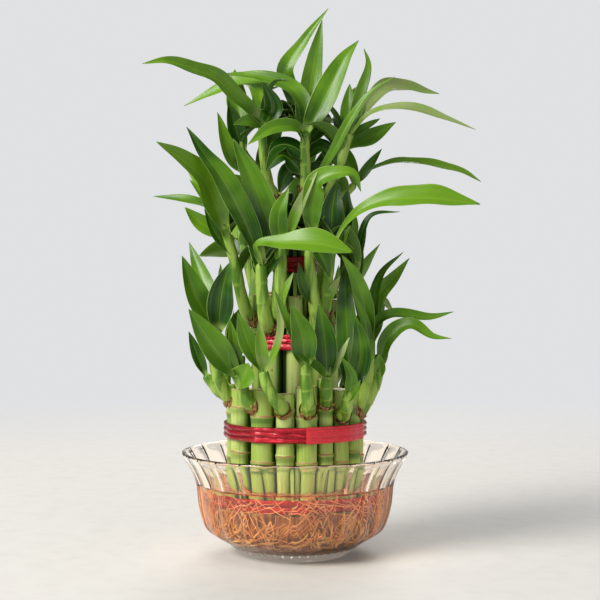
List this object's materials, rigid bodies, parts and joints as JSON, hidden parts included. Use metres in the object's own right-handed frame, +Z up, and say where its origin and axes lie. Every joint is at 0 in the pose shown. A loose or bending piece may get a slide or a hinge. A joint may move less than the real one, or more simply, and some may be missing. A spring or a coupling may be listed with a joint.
{
  "type": "lucky bamboo in a glass bowl",
  "caption": "Tiered bundle of cut green canes with leafy shoots, held by red foil ties, rooted in water in a fluted clear glass bowl.",
  "frame": {"origin": "middle of the flat underside of the bowl's foot", "axes": "+Z up along the canes, -Y towards the front, where the broad leaf of the middle tier lies across"},
  "size_m": [0.1917, 0.1737, 0.3107],
  "materials": {
    "glass": "clear pressed glass",
    "water": "clear water with a faint amber tint",
    "foil": "metallic crimson foil ribbon",
    "root": "orange roots with pale tips",
    "cane": "smooth waxy green cane with tan node rings",
    "leaf": "glossy leaf with parallel veins"
  },
  "bodies": {
    "root": {"bowl": "glass", "water": "water", "roots": "root", "tie_roots": "foil", "tie_lower": "foil", "tie_middle": "foil", "tie_upper": "foil", "cane_outer_01": "cane", "cane_outer_02": "cane", "cane_outer_03": "cane", "cane_outer_04": "cane", "cane_outer_05": "cane", "cane_outer_06": "cane", "cane_outer_07": "cane", "cane_outer_08": "cane", "cane_outer_09": "cane", "cane_outer_10": "cane", "cane_outer_11": "cane", "cane_outer_12": "cane", "cane_outer_13": "cane", "cane_outer_14": "cane", "cane_outer_15": "cane", "cane_outer_16": "cane", "cane_middle_01": "cane", "cane_middle_02": "cane", "cane_middle_03": "cane", "cane_middle_04": "cane", "cane_middle_05": "cane", "cane_middle_06": "cane", "cane_middle_07": "cane", "cane_middle_08": "cane", "cane_middle_09": "cane", "cane_middle_10": "cane", "cane_inner_01": "cane", "cane_inner_02": "cane", "cane_inner_03": "cane", "cane_inner_04": "cane", "shoot_outer_left": "leaf", "shoot_outer_front_left": "leaf", "shoot_outer_front": "leaf", "shoot_outer_centre": "leaf", "shoot_outer_right_inside": "leaf", "shoot_outer_front_right": "leaf", "shoot_outer_right": "leaf", "shoot_outer_back_right": "leaf", "shoot_outer_back": "leaf", "shoot_outer_back_left": "leaf", "shoot_outer_far_left": "leaf", "shoot_middle_left": "leaf", "shoot_middle_front": "leaf", "shoot_middle_centre_left": "leaf", "shoot_middle_centre_right": "leaf", "shoot_middle_right": "leaf", "shoot_middle_far_right": "leaf", "shoot_middle_back_right": "leaf", "shoot_middle_back_left": "leaf", "shoot_inner_left": "leaf", "shoot_inner_centre": "leaf", "shoot_inner_right": "leaf", "shoot_inner_back": "leaf"}
  },
  "joints": []
}
